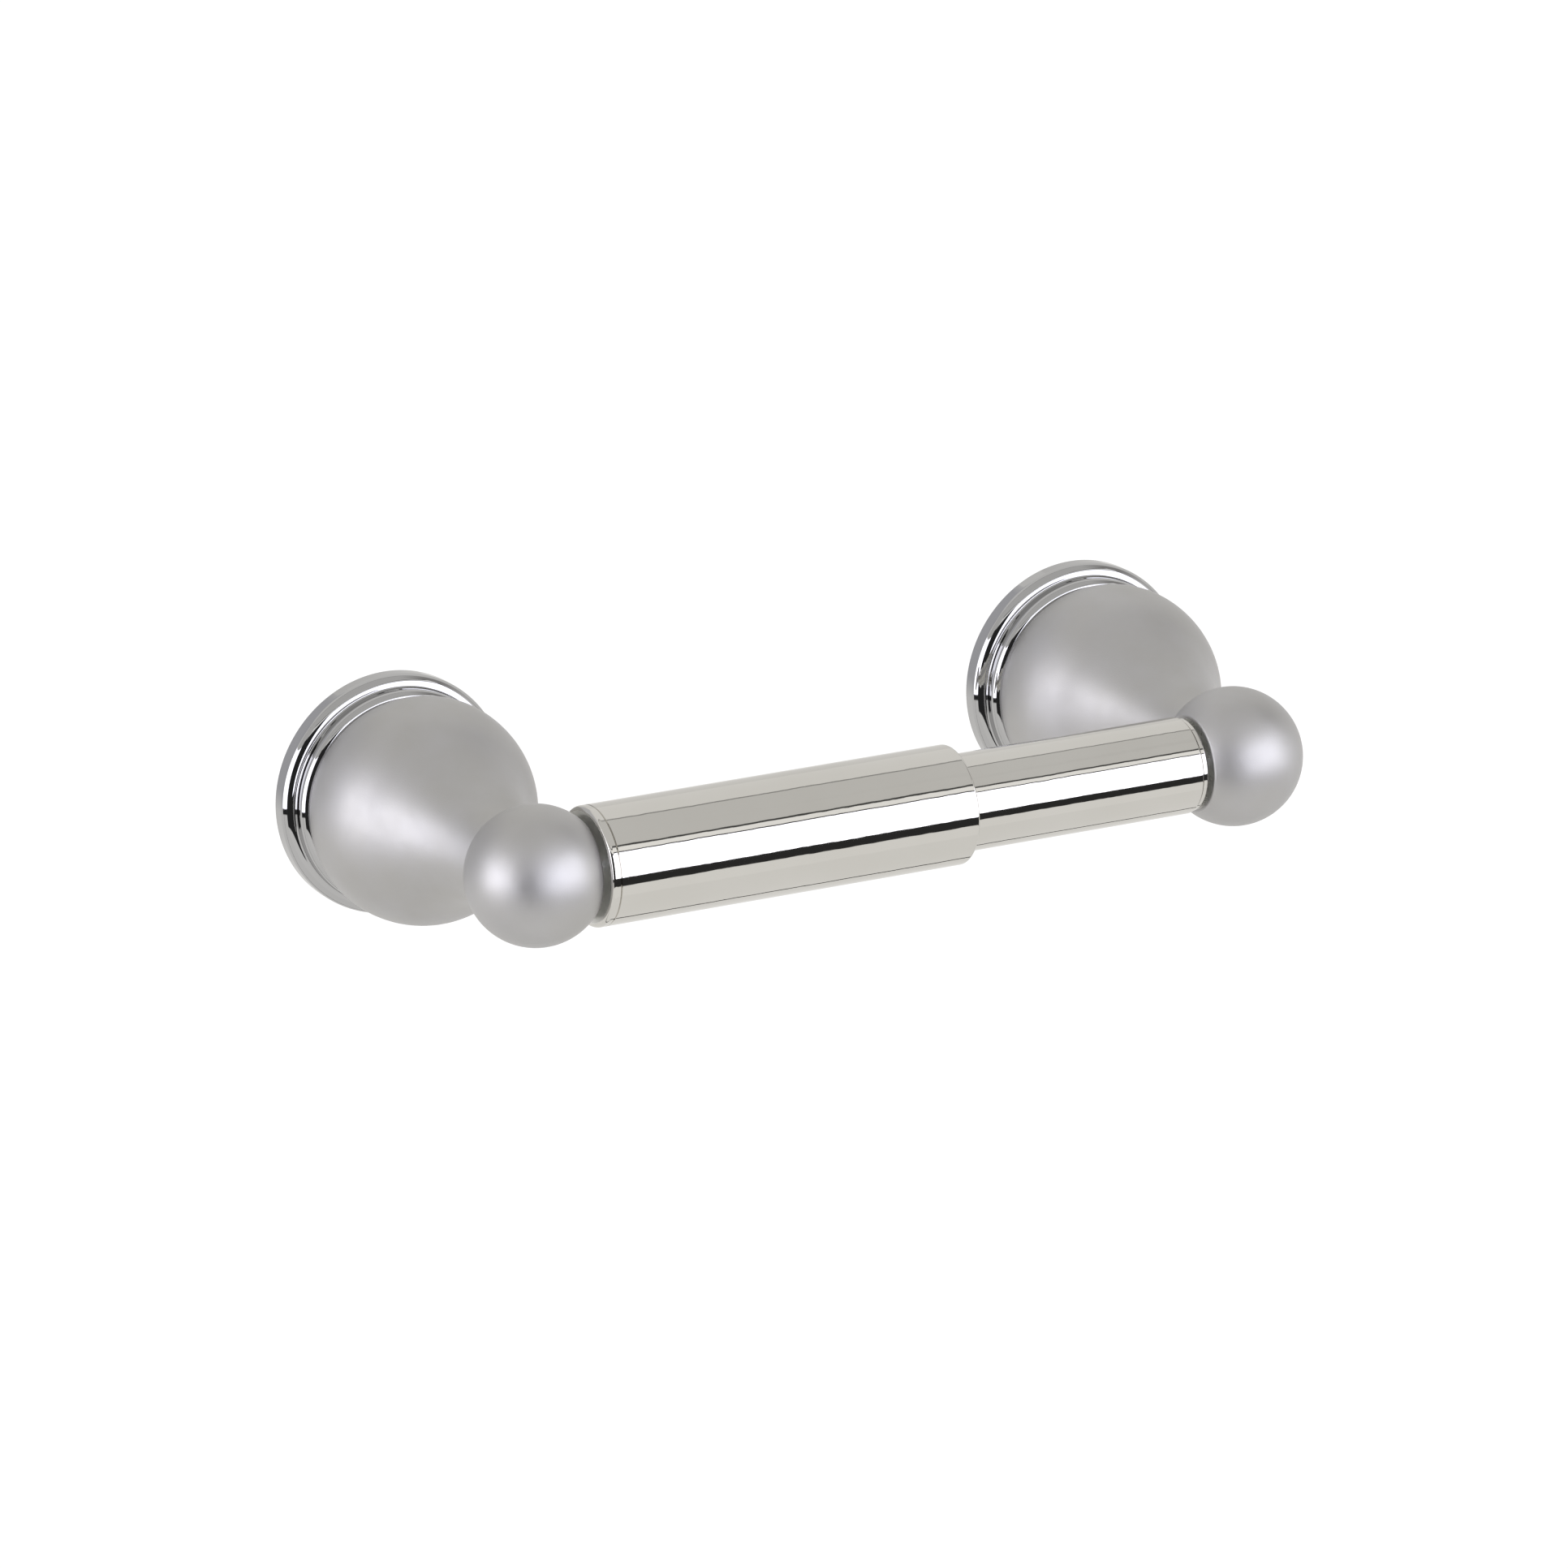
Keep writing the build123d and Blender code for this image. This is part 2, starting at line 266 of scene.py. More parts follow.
@dataclass(frozen=True)
class Spindle:
    """Line that a piece is turned about."""

    origin: Vector
    direction: Vector

    def axes(self) -> tuple[Vector, Vector]:
        """Two unit vectors across the spindle."""
        first = self.direction.orthogonal().normalized()
        return first, self.direction.cross(first)


@dataclass(frozen=True)
class Thread:
    """Threaded stretch of a screw, cut into its full radius."""

    start: float
    end: float
    pitch: float
    depth: float

    def cut(self, along: float, turn: float) -> float:
        """How deep the thread is cut at a place.

        Args:
            along: place along the screw.
            turn: place round the screw, from 0 to 1.

        Returns:
            The depth below the screw's full radius.
        """
        fade = min(1.0, (along - self.start) / self.pitch, (self.end - along) / self.pitch)
        if fade <= 0:
            return 0.0
        phase = (along / self.pitch - turn) % 1.0
        share = THREAD_FLANK * abs(phase - 0.5) - THREAD_CREST
        return self.depth * fade * min(1.0, max(0.0, share))

    def rows(self) -> list[float]:
        """Places of the rings that draw the thread."""
        count = round((self.end - self.start) / self.pitch * THREAD_ROWS)
        return [self.start + (self.end - self.start) * i / count for i in range(count + 1)]


class MeshShop:
    """Makes mesh pieces: turned, cut and threaded ones."""

    @staticmethod
    def piece(name: str, mesh: bpy.types.Mesh) -> Piece:
        """Put a mesh in the scene as an object.

        Args:
            name: the object's name.
            mesh: its mesh.

        Returns:
            The new object.
        """
        made = bpy.data.objects.new(name, mesh)
        bpy.context.scene.collection.objects.link(made)
        return made

    @classmethod
    def turned(
        cls, name: str, outline: Outline, spindle: Spindle, steps: int = TURNED_STEPS
    ) -> Piece:
        """Turn an outline about a spindle, with exact surface normals.

        Args:
            name: the piece's name.
            outline: half-outline of the piece.
            spindle: line that it is turned about.
            steps: meridians round the piece.

        Returns:
            The new object.
        """
        first, second = spindle.axes()
        radial = [
            first * math.cos(math.tau * j / steps) + second * math.sin(math.tau * j / steps)
            for j in range(steps)
        ]
        points: list[Vector] = []
        rings: dict[tuple[int, int], list[int]] = {}

        def ring(station: Station) -> list[int]:
            """Make a ring's vertices, once for each place.

            Args:
                station: where the ring is.

            Returns:
                Their numbers, one for each meridian.
            """
            key = (round(station.along / TINY), round(station.radius / TINY))
            if key not in rings:
                centre = spindle.origin + spindle.direction * station.along
                start = len(points)
                if station.radius < TINY:
                    points.append(centre)
                    rings[key] = [start] * steps
                else:
                    points.extend(centre + way * station.radius for way in radial)
                    rings[key] = list(range(start, start + steps))
            return rings[key]

        faces: list[tuple[int, ...]] = []
        normals: list[Vector] = []
        for span in outline.spans():
            for low, high in zip(span, span[1:]):
                low_ring, high_ring = ring(low), ring(high)
                for j in range(steps):
                    k = (j + 1) % steps
                    loop = [
                        (low_ring[j], low, j),
                        (low_ring[k], low, k),
                        (high_ring[k], high, k),
                        (high_ring[j], high, j),
                    ]
                    if low_ring[j] == low_ring[k]:
                        loop.pop(1)
                    if high_ring[j] == high_ring[k]:
                        loop.pop()
                    if len({vertex for vertex, _, _ in loop}) < 3:
                        continue
                    faces.append(tuple(vertex for vertex, _, _ in loop))
                    normals.extend(
                        spindle.direction * at.normal[0] + radial[way] * at.normal[1]
                        for _, at, way in loop
                    )
        mesh = bpy.data.meshes.new(name)
        mesh.from_pydata(points, [], faces)
        mesh.polygons.foreach_set("use_smooth", [True] * len(mesh.polygons))
        mesh.normals_split_custom_set(normals)
        mesh.update()
        return cls.piece(name, mesh)

    @classmethod
    def rod(
        cls, spindle: Spindle, radius: float, start: float, end: float, name: str = "tool",
        steps: int = ROD_STEPS,
    ) -> Piece:
        """A straight bar.

        Args:
            spindle: the bar's axis.
            radius: distance from the axis to its corners.
            start: place of one end along the axis.
            end: place of the other end.
            name: the piece's name.
            steps: how many sides it has.

        Returns:
            The new object.
        """
        corners = ((start, 0), (start, radius), (end, radius), (end, 0))
        outline = Outline([Corner(*corner) for corner in corners], closed=False)
        return cls.turned(name, outline, spindle, steps)

    @classmethod
    def hexagon(
        cls, spindle: Spindle, across: float, start: float, end: float, name: str = "tool"
    ) -> Piece:
        """A hexagon bar.

        Args:
            spindle: the bar's axis.
            across: distance between opposite flats.
            start: place of one end along the axis.
            end: place of the other end.
            name: the piece's name.

        Returns:
            The new object.
        """
        corner = across / 2 / math.cos(math.pi / HEXAGON)
        made = cls.rod(spindle, corner, start, end, name, HEXAGON)
        cls.crease(made)
        return made

    @classmethod
    def skin(cls, name: str, rings: list[list[Vector]]) -> Piece:
        """Close a row of rings of points into a solid.

        Args:
            name: the piece's name.
            rings: rings with the same number of points each.

        Returns:
            The new object.
        """
        work = bmesh.new()
        rows = [[work.verts.new(point) for point in ring] for ring in rings]
        for low, high in zip(rows, rows[1:]):
            for j, corner in enumerate(low):
                k = (j + 1) % len(low)
                work.faces.new((corner, low[k], high[k], high[j]))
        work.faces.new(reversed(rows[0]))
        work.faces.new(rows[-1])
        bmesh.ops.recalc_face_normals(work, faces=work.faces)
        made = cls.finished(name, work)
        cls.crease(made)
        return made

    @classmethod
    def finished(cls, name: str, work: bmesh.types.BMesh) -> Piece:
        """Turn finished mesh work into an object and free it.

        Args:
            name: the piece's name.
            work: the mesh work.

        Returns:
            The new object.
        """
        mesh = bpy.data.meshes.new(name)
        work.to_mesh(mesh)
        work.free()
        return cls.piece(name, mesh)

    @classmethod
    def screw(
        cls, name: str, spindle: Spindle, radius: float, span: tuple[float, float],
        bevels: tuple[float, float], threads: tuple[Thread, ...],
    ) -> Piece:
        """A round bar with real helical threads and bevelled ends.

        Args:
            name: the piece's name.
            spindle: the bar's axis.
            radius: the bar's full radius.
            span: places of its two ends along the axis.
            bevels: bevel at each end.
            threads: its threaded stretches.

        Returns:
            The new object.
        """
        start, end = span
        places = {start, start + bevels[0], end - bevels[1], end}
        places.update(row for thread in threads for row in thread.rows())
        rows = sorted(row for row in places if start <= row <= end)
        first, second = spindle.axes()
        rings = []
        for row in rows:
            full = radius - max(0.0, bevels[0] - (row - start), bevels[1] - (end - row))
            ring = []
            for j in range(THREAD_STEPS):
                turn = j / THREAD_STEPS
                cut = max((thread.cut(row, turn) for thread in threads), default=0.0)
                out = min(full, radius - cut)
                way = first * math.cos(math.tau * turn) + second * math.sin(math.tau * turn)
                ring.append(spindle.origin + spindle.direction * row + way * out)
            rings.append(ring)
        return cls.skin(name, rings)

    @classmethod
    def slab(cls, centre: Vector, size: Vector, turn: Matrix) -> Piece:
        """A flat cutting tool, such as a saw's blade.

        Args:
            centre: its middle.
            size: its three sizes.
            turn: its rotation.

        Returns:
            The new object.
        """
        work = bmesh.new()
        shape = Matrix.Translation(centre) @ turn.to_4x4() @ Matrix.Diagonal((*size, 1.0))
        bmesh.ops.create_cube(work, size=1.0, matrix=shape)
        return cls.finished("tool", work)

    @staticmethod
    def crease(piece: Piece) -> None:
        """Shade a piece smooth, with hard edges where its faces meet at a real corner.

        Args:
            piece: the piece to shade. Its own surface normals are dropped.
        """
        mesh = piece.data
        if mesh.has_custom_normals:
            bpy.context.view_layer.objects.active = piece
            with bpy.context.temp_override(object=piece, active_object=piece):
                bpy.ops.mesh.customdata_custom_splitnormals_clear()
        work = bmesh.new()
        work.from_mesh(mesh)
        bmesh.ops.remove_doubles(work, verts=work.verts, dist=TINY)
        for face in work.faces:
            face.smooth = True
        for edge in work.edges:
            edge.smooth = len(edge.link_faces) == 2 and edge.calc_face_angle() < SHARP_ANGLE
        work.to_mesh(mesh)
        work.free()
        mesh.update()

    @classmethod
    def cut(cls, piece: Piece, tool: Piece, keep_common: bool = False) -> None:
        """Cut one piece with another and remove the tool.

        Args:
            piece: the piece that stays.
            tool: the piece that cuts it.
            keep_common: keep only what both share, rather than what the tool leaves.
        """
        step = piece.modifiers.new("cut", "BOOLEAN")
        step.operation = "INTERSECT" if keep_common else "DIFFERENCE"
        step.solver = "EXACT"
        step.object = tool
        graph = bpy.context.evaluated_depsgraph_get()
        result = bpy.data.meshes.new_from_object(piece.evaluated_get(graph))
        piece.modifiers.remove(step)
        old = piece.data
        piece.data = result
        bpy.data.meshes.remove(old)
        bpy.data.objects.remove(tool)
        cls.crease(piece)

    @classmethod
    def drill(cls, piece: Piece, tool: Piece) -> None:
        """Cut a hole in a turned piece, and keep its exact surface normals round the hole.

        Args:
            piece: the turned piece.
            tool: the piece that cuts it.
        """
        old = piece.data.copy()
        corners = [corner.vector.copy() for corner in old.corner_normals]
        points = [vertex.co.copy() for vertex in old.vertices]
        tree = BVHTree.FromPolygons(points, [face.vertices[:] for face in old.polygons])
        cls.cut(piece, tool)
        mesh = piece.data
        normals = [corner.vector.copy() for corner in mesh.corner_normals]
        for face in mesh.polygons:
            for loop in face.loop_indices:
                corner = mesh.vertices[mesh.loops[loop].vertex_index].co
                near = corner.lerp(face.center, INWARD)
                _, facing, index, away = tree.find_nearest(near)
                if away > ON_SURFACE or facing.dot(face.normal) < SAME_WAY:
                    continue
                source = old.polygons[index]
                shares = poly_3d_calc([points[at] for at in source.vertices], corner)
                blend = Vector()
                for share, at in zip(shares, source.loop_indices):
                    blend += corners[at] * share
                normals[loop] = blend.normalized()
        mesh.normals_split_custom_set(normals)
        bpy.data.meshes.remove(old)


# ---- finishes


class NodeBench:
    """Short way to build a shader: adds nodes and joins them."""

    def __init__(self, tree: bpy.types.NodeTree) -> None:
        """Start from an empty tree."""
        tree.nodes.clear()
        self.tree = tree

    def add(self, kind: str, **inputs: object) -> bpy.types.Node:
        """Add a node.

        Args:
            kind: the node's type without its ShaderNode prefix.
            **inputs: socket values or links by socket name, with _ for a blank; operation and
                other settings of the node by their own lower-case names.

        Returns:
            The new node.
        """
        node = self.tree.nodes.new(f"ShaderNode{kind}")
        for name, value in inputs.items():
            if name[0].islower():
                setattr(node, name, value)
                continue
            self.feed(node, name.replace("_", " "), value)
        return node

    def feed(self, node: bpy.types.Node, socket: str | int, value: object) -> None:
        """Set a socket to a value or link it to another node's socket.

        Args:
            node: the node that has the socket.
            socket: the socket's name or number.
            value: the value, or the socket to link from.
        """
        if isinstance(value, Socket):
            self.tree.links.new(value, node.inputs[socket])
        else:
            node.inputs[socket].default_value = value

    def math(self, operation: str, *values: object) -> Socket:
        """One arithmetic step.

        Args:
            operation: the Math node's operation.
            *values: numbers or sockets.

        Returns:
            The result's socket.
        """
        node = self.add("Math", operation=operation)
        for index, value in enumerate(values):
            self.feed(node, index, value)
        return node.outputs[0]

    def mapped(
        self, value: Socket, low: float, high: float,
        from_low: float = NOISE_LOW, from_high: float = NOISE_HIGH,
    ) -> Socket:
        """Map a value, such as a noise, to a range.

        Args:
            value: the value.
            low: result at the value's low end.
            high: result at its high end.
            from_low: value that gives low.
            from_high: value that gives high.

        Returns:
            The mapped socket.
        """
        node = self.add(
            "MapRange", Value=value, From_Min=from_low, From_Max=from_high, To_Min=low, To_Max=high
        )
        return node.outputs[0]

    def noise(
        self, where: Socket, scale: float, detail: float, rough: float = 0.5
    ) -> Socket:
        """Noise value at a place, with its scale in features per metre."""
        node = self.add("TexNoise", Vector=where, Scale=scale, Detail=detail, Roughness=rough)
        return node.outputs[0]

    def mix(self, share: Socket, first: object, second: object) -> Socket:
        """Mix two colours.

        Args:
            share: how much of the second colour shows.
            first: the first colour, or a link to it.
            second: the second colour, or a link to it.

        Returns:
            The mixed colour's socket.
        """
        node = self.add("Mix", data_type="RGBA", Factor=share)
        self.feed(node, MIX_FIRST, first)
        self.feed(node, MIX_SECOND, second)
        return node.outputs[MIX_RESULT]


@dataclass(frozen=True)
class Finish:
    """A metal or plastic surface with its grain, unevenness and small bumps."""

    name: str
    slot: Slot
    colour: tuple[float, float, float]
    dark_colour: tuple[float, float, float]
    roughness: tuple[float, float]
    patch_scale: float  # features per metre of the slow colour change
    smudge_scale: float  # features per metre of the roughness change
    grain_scale: float  # features per metre of the bumps
    grain_height: float  # metres
    metallic: float = 1.0
    subsurface: float = 0.0

    def make(self) -> bpy.types.Material:
        """Build the material.

        Returns:
            A node-based material, the same object on every call.
        """
        if self.name in bpy.data.materials:
            return bpy.data.materials[self.name]
        material = bpy.data.materials.new(self.name)
        material.use_nodes = True
        bench = NodeBench(material.node_tree)
        place = bench.add("TexCoord").outputs["Object"]
        patches = bench.noise(place, self.patch_scale, PATCH_DETAIL)
        share = bench.mapped(patches, 0.0, 1.0)
        colour = bench.mix(share, (*self.dark_colour, 1.0), (*self.colour, 1.0))
        smudges = bench.noise(place, self.smudge_scale, SMUDGE_DETAIL, SMUDGE_ROUGHNESS)
        rough = bench.mapped(smudges, *self.roughness)
        grain = bench.noise(place, self.grain_scale, GRAIN_DETAIL)
        bump = bench.add("Bump", Height=grain, Strength=1.0, Distance=self.grain_height)
        shader = bench.add(
            "BsdfPrincipled",
            Base_Color=colour,
            Roughness=rough,
            Normal=bump.outputs[0],
            Metallic=self.metallic,
            Subsurface_Weight=self.subsurface,
        )
        if self.subsurface:
            shader.inputs["Subsurface Scale"].default_value = SCATTER_DEPTH
        bench.add("OutputMaterial", Surface=shader.outputs[0])
        return material


POLISHED_CHROME = Finish(
    name="polished_chrome", slot=Slot.POLISHED,
    colour=(0.505, 0.505, 0.51), dark_colour=(0.485, 0.485, 0.485),
    roughness=(0.02, 0.045),
    patch_scale=35.0, smudge_scale=60.0, grain_scale=220.0, grain_height=0.0000012,
)
BRIGHT_NICKEL = Finish(
    name="bright_nickel", slot=Slot.POLISHED,
    colour=(0.678, 0.665, 0.634), dark_colour=(0.655, 0.641, 0.606),
    roughness=(0.025, 0.06),
    patch_scale=35.0, smudge_scale=60.0, grain_scale=170.0, grain_height=0.00004,
)
# Painted light: the roller caps' end face is coloured much lighter than the bright nickel around it,
# so that the shaded gap between ball and cap reads lighter. Only its rougher surface stands for a
# real turned face.
TURNED_FACE_PAINTED_LIGHT = Finish(
    name="turned_face_painted_light", slot=Slot.POLISHED,
    colour=(0.88, 0.88, 0.85), dark_colour=(0.82, 0.82, 0.79),
    roughness=(0.32, 0.40),
    patch_scale=250.0, smudge_scale=400.0, grain_scale=2400.0, grain_height=0.00001,
)
# Painted light: the inner part of each ball's flat, mostly hidden behind the roller's end, is
# coloured far lighter than the satin around it, so that it throws light into the shaded gap between
# ball and cap.
FLAT_PAINTED_LIGHT = Finish(
    name="flat_painted_light", slot=Slot.SATIN,
    colour=(0.84, 0.84, 0.82), dark_colour=(0.79, 0.79, 0.77),
    roughness=(0.25, 0.32),
    patch_scale=250.0, smudge_scale=400.0, grain_scale=1800.0, grain_height=0.000003,
)
SATIN_NICKEL = Finish(
    name="satin_nickel", slot=Slot.SATIN,
    colour=(0.532, 0.527, 0.526), dark_colour=(0.505, 0.498, 0.484),
    roughness=(0.46, 0.52),
    patch_scale=60.0, smudge_scale=110.0, grain_scale=4200.0, grain_height=0.00002,
)
CAST_ZINC = Finish(
    name="cast_zinc", slot=Slot.ZINC,
    colour=(0.56, 0.57, 0.58), dark_colour=(0.48, 0.49, 0.50),
    roughness=(0.38, 0.58),
    patch_scale=520.0, smudge_scale=400.0, grain_scale=2600.0, grain_height=0.00003,
)
PLATED_STEEL = Finish(
    name="plated_steel", slot=Slot.STEEL,
    colour=(0.60, 0.61, 0.62), dark_colour=(0.50, 0.51, 0.53),
    roughness=(0.22, 0.38),
    patch_scale=300.0, smudge_scale=700.0, grain_scale=3800.0, grain_height=0.000008,
)
SPRING_WIRE = Finish(
    name="spring_wire", slot=Slot.SPRING_STEEL,
    colour=(0.42, 0.42, 0.43), dark_colour=(0.30, 0.30, 0.31),
    roughness=(0.28, 0.42),
    patch_scale=250.0, smudge_scale=600.0, grain_scale=3000.0, grain_height=0.00001,
)
NATURAL_NYLON = Finish(
    name="natural_nylon", slot=Slot.NYLON,
    colour=(0.84, 0.83, 0.79), dark_colour=(0.78, 0.77, 0.72),
    metallic=0.0, roughness=(0.42, 0.55),
    patch_scale=120.0, smudge_scale=300.0, grain_scale=2400.0, grain_height=0.00002,
    subsurface=0.25,
)


def radius_of(node: str) -> float:
    """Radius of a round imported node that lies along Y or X: half of its height."""
    low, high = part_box(node)
    return (high.z - low.z) / 2


def dress_node(node: str, finish: Finish) -> None:
    """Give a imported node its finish, without touching its mesh.

    Args:
        node: the node's name in the frame.
        finish: the finish it gets.
    """
    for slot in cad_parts[node].material_slots:
        slot.link = "OBJECT"
        slot.material = finish.make()
    LOG.info("dressed %s in %s", node, finish.name)


def place(piece: Piece, body: Body, finish: Finish, node: str) -> None:
    """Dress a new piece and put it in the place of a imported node.

    Args:
        piece: the new piece.
        body: the body that it rides on.
        finish: its finish.
        node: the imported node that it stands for.
    """
    piece.data.materials.clear()
    piece.data.materials.append(finish.make())
    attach(piece, body.value)
    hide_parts(node)
    LOG.info("made %s on %s", piece.name, body.value)


def face_off(
    piece: Piece, spindle: Spindle, finish: Finish, beyond: float, within: float
) -> None:
    """Give the end face of a turned piece a second finish.

    Args:
        piece: the turned piece.
        spindle: line that it was turned about, along X.
        finish: the second finish.
        beyond: place along the spindle past which faces take it.
        within: distance from the spindle inside which faces take it.
    """
    piece.data.materials.append(finish.make())
    for face in piece.data.polygons:
        offset = face.center - spindle.origin
        near = math.hypot(offset.y, offset.z) < within
        if near and offset.dot(spindle.direction) > beyond:
            face.material_index = 1


# ---- posts


@dataclass
class Post:
    """One post: wall bracket, chrome base ring, satin dome, satin ball and their fasteners."""

    side: Side
    bead_arc: float = 80.0  # degrees, as every arc
    back_round: float = 0.0003
    lower_bead_side: float = 0.0027
    lower_bead_round: float = 0.0023
    upper_bead_radius: float = 0.02355
    upper_bead_side: float = 0.00708
    upper_bead_round: float = 0.0018
    groove_round: float = 0.00045
    cavity_depth: float = 0.0065
    cavity_round: float = 0.0004
    stud_clearance: float = 0.0032
    dome_centre: float = 0.017
    dome_base_round: float = 0.0167
    dome_arc: float = 54.0
    dome_wall: float = 0.0025
    dome_cavity_top: float = 0.032
    neck_radius: float = 0.065
    neck_arc: float = 26.0
    flat_edge: float = 0.0008
    painted_light_radius: float = 0.0097  # inner part of the flat, coloured lighter as painted light for the shaded gap
    socket_radius: float = 0.00308
    socket_depth: float = 0.009
    socket_bevel: float = 0.0004
    hole_clearance: float = 0.00005
    stud_thread: float = 0.009
    stud_bevel: float = 0.0005
    thread_pitch: float = 0.001
    thread_depth: float = 0.00055
    grub_pitch: float = 0.0005
    grub_depth: float = 0.00028
    grub_bevel: float = 0.0002
    grub_point: float = 0.0007
    grub_flats: float = 0.0015
    grub_socket: float = 0.002
    nut_flats: float = 0.010
    nut_bevel: float = 0.0005
    nut_face: float = 0.96  # the end face's circle, as a share of the nut's size
    nut_reach: float = 1.18  # the same for the bevel's outer end
    washer_edge: float = 0.0002
    washer_split: float = 0.0007
    split_slope: float = 25.0  # degrees from the axis
    saw_reach: float = 4.0  # the saw's length, in washer thicknesses

    def __post_init__(self) -> None:
        """Read the post's place and main sizes from the frame."""
        ring_low, ring_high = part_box(self.named("base_ring"))
        ball_low, ball_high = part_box(self.named("ball"))
        self.centre_x = (ring_low.x + ring_high.x) / 2
        self.ring_radius = radius_of(self.named("base_ring"))
        self.ring_height = -ring_low.y
        self.dome_radius = radius_of(self.named("dome"))
        self.ball_radius = radius_of(self.named("ball"))
        self.ball_distance = -ball_low.y - self.ball_radius
        inner_x = ball_high.x if self.side is Side.LEFT else ball_low.x
        self.flat_offset = abs(self.centre_x - inner_x)
        self.spindle = Spindle(Vector((self.centre_x, 0, 0)), Vector((0, -1, 0)))
        self.stud_radius = radius_of(self.named("post_stud"))
        self.stud_span = self.span("post_stud")
        grub_low, grub_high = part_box(self.named("set_screw"))
        self.grub_radius = (grub_high.x - grub_low.x) / 2
        self.grub_length = grub_high.z - grub_low.z
        grub_y = (grub_low.y + grub_high.y) / 2
        self.grub_spindle = Spindle(Vector((self.centre_x, grub_y, grub_low.z)), Vector((0, 0, 1)))

    def named(self, name: str) -> str:
        """Full name of one of this post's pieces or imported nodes."""
        return f"{self.side.label}_{name}"

    def span(self, node: str) -> tuple[float, float]:
        """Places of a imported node's two ends along the post's spindle."""
        low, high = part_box(self.named(node))
        return -high.y, -low.y

    def base_ring(self) -> None:
        """Chrome ring: two convex beads outside, a web and a cavity inside, a screw hole below."""
        _, bracket_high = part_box(self.named("wall_bracket"))
        cavity = bracket_high.z
        turn = math.radians(self.bead_arc)
        low = 90.0 - self.bead_arc
        lower = (self.lower_bead_side, self.ring_radius - self.lower_bead_round)
        shelf_start = (
            lower[0] + self.lower_bead_round * math.sin(turn),
            lower[1] + self.lower_bead_round * math.cos(turn),
        )
        drop = shelf_start[1] - self.upper_bead_radius
        shelf_end = shelf_start[0] + drop / math.tan(turn)
        upper = (self.upper_bead_side, self.upper_bead_radius - self.upper_bead_round)
        outline = Outline([
            Corner(0, self.ring_radius, self.back_round),
            Round(lower, self.lower_bead_round, 90.0, low),
            Corner(shelf_end, self.upper_bead_radius, self.groove_round),
            Round(upper, self.upper_bead_round, 90.0, low),
            Corner(self.ring_height, self.stud_clearance),
            Corner(self.cavity_depth, self.stud_clearance),
            Corner(self.cavity_depth, cavity, self.cavity_round),
            Corner(0, cavity),
        ])
        ring = MeshShop.turned(self.named("ring"), outline, self.spindle)
        hole = self.grub_radius + self.hole_clearance
        reach = self.grub_length
        margin = reach / 2
        MeshShop.drill(ring, MeshShop.rod(self.grub_spindle, hole, -margin, reach + margin))
        place(ring, Body.POSTS, POLISHED_CHROME, self.named("base_ring"))

    def dome(self) -> None:
        """Satin shell: a sphere that runs through a hollow curve into the neck.

        Below its widest place the outline turns in on a smaller radius than the sphere's.
        """
        centre = (self.dome_centre, 0.0)
        drop = self.dome_centre - self.ring_height
        base = (self.dome_centre, self.dome_radius - self.dome_base_round)
        root = 90.0 + math.degrees(math.asin(drop / self.dome_base_round))
        turn = math.radians(self.dome_arc)
        reach = self.dome_radius + self.neck_radius
        hollow = (self.dome_centre + reach * math.cos(turn), reach * math.sin(turn))
        inner = self.dome_radius - self.dome_wall
        inner_base = self.dome_base_round - self.dome_wall
        inner_root = 90.0 + math.degrees(math.asin(drop / inner_base))
        inner_top = math.degrees(math.acos((self.dome_cavity_top - self.dome_centre) / inner))
        opposite = 180.0 + self.dome_arc
        seat = self.ball_distance
        neck = Round(hollow, self.neck_radius, opposite, opposite + self.neck_arc)
        neck_end = neck.point(neck.end)
        seat_start = math.degrees(math.atan2(neck_end[1], neck_end[0] - seat))
        seat_end = 180.0 - math.degrees(math.asin(self.stud_clearance / self.ball_radius))
        outline = Outline([
            Round(base, self.dome_base_round, root, 90.0),
            Round(centre, self.dome_radius, 90.0, self.dome_arc),
            neck,
            Round((seat, 0.0), self.ball_radius, seat_start, seat_end),
            Corner(self.dome_cavity_top, self.stud_clearance),
            Round(centre, inner, inner_top, 90.0),
            Round(base, inner_base, 90.0, inner_root),
        ])
        shell = MeshShop.turned(self.named("shell"), outline, self.spindle)
        place(shell, Body.POSTS, SATIN_NICKEL, self.named("dome"))

    def ball(self) -> None:
        """Satin ball with a softly edged flat towards the roller and a blind socket in it."""
        edge = self.flat_edge
        edge_along = self.flat_offset - edge
        edge_out = math.sqrt((self.ball_radius - edge) ** 2 - edge_along**2)
        meet = math.degrees(math.atan2(edge_out, edge_along))
        bottom = self.flat_offset - self.socket_depth
        outline = Outline([
            Round((0.0, 0.0), self.ball_radius, 180.0, meet),
            Round((edge_along, edge_out), edge, meet, 0.0),
            Corner(self.flat_offset, self.painted_light_radius),
            Corner(self.flat_offset, self.socket_radius + self.socket_bevel),
            Corner(self.flat_offset - self.socket_bevel, self.socket_radius),
            Corner(bottom, self.socket_radius),
            Corner(bottom, 0),
        ], closed=False)
        centre = Vector((self.centre_x, -self.ball_distance, 0))
        spindle = Spindle(centre, Vector((-self.side.value, 0, 0)))
        knob = MeshShop.turned(self.named("knob"), outline, spindle)
        below = self.ball_distance - self.ball_radius - self.stud_bevel
        tool = MeshShop.rod(self.spindle, self.stud_radius, below, self.stud_span[1])
        MeshShop.drill(knob, tool)
        place(knob, Body.POSTS, SATIN_NICKEL, self.named("ball"))
        # Painted light: the inner flat takes a much lighter finish than the satin, to lighten the
        # shaded gap next to the cap.
        beyond = self.flat_offset - ON_SURFACE
        face_off(knob, spindle, FLAT_PAINTED_LIGHT, beyond, self.painted_light_radius)

